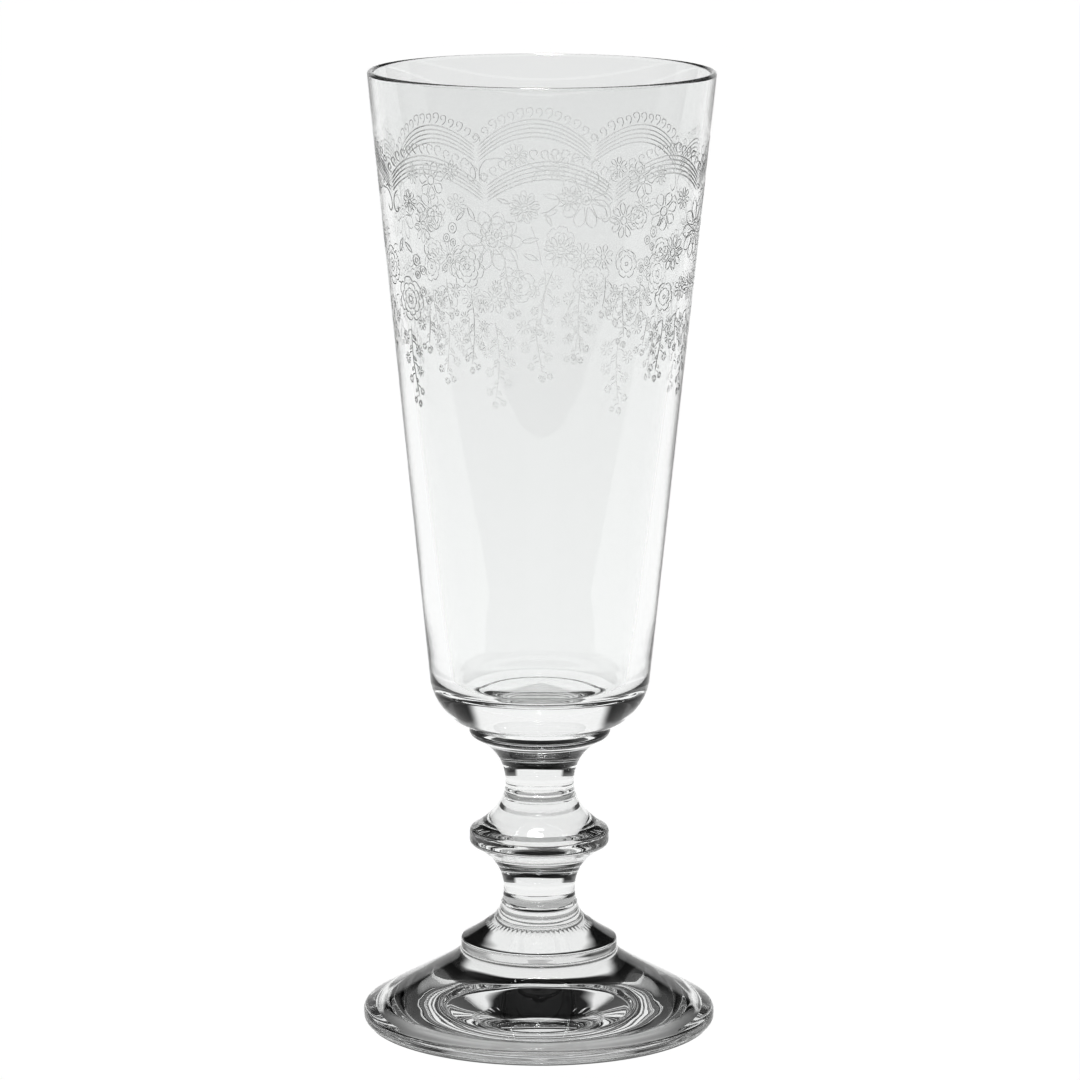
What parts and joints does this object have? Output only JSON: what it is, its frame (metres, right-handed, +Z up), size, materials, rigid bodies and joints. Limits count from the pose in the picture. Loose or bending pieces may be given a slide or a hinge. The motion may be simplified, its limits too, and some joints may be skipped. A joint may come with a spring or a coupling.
{
  "type": "champagne flute",
  "caption": "Clear pressed-glass champagne flute: tall tapering bowl with an etched floral border, short knopped stem and a stepped conical foot.",
  "frame": {"origin": "centre of the resting plane: the bottom centre of the bounding box, where the axis of the glass meets the table", "axes": "+Z up along the axis of the glass towards the rim; the glass is round, so +X and +Y are any two square directions across it"},
  "size_m": [0.0656, 0.0656, 0.178],
  "materials": {
    "bowl_glass": "clear, polished, with a fine frosted floral border etched on the outside",
    "stem_glass": "clear, fire-polished pressed glass with slight waves"
  },
  "bodies": {
    "root": {"bowl": "bowl_glass", "merese": "stem_glass", "upper_stem": "stem_glass", "knop": "stem_glass", "lower_stem": "stem_glass", "foot_collar": "stem_glass", "foot": "stem_glass"}
  },
  "joints": []
}
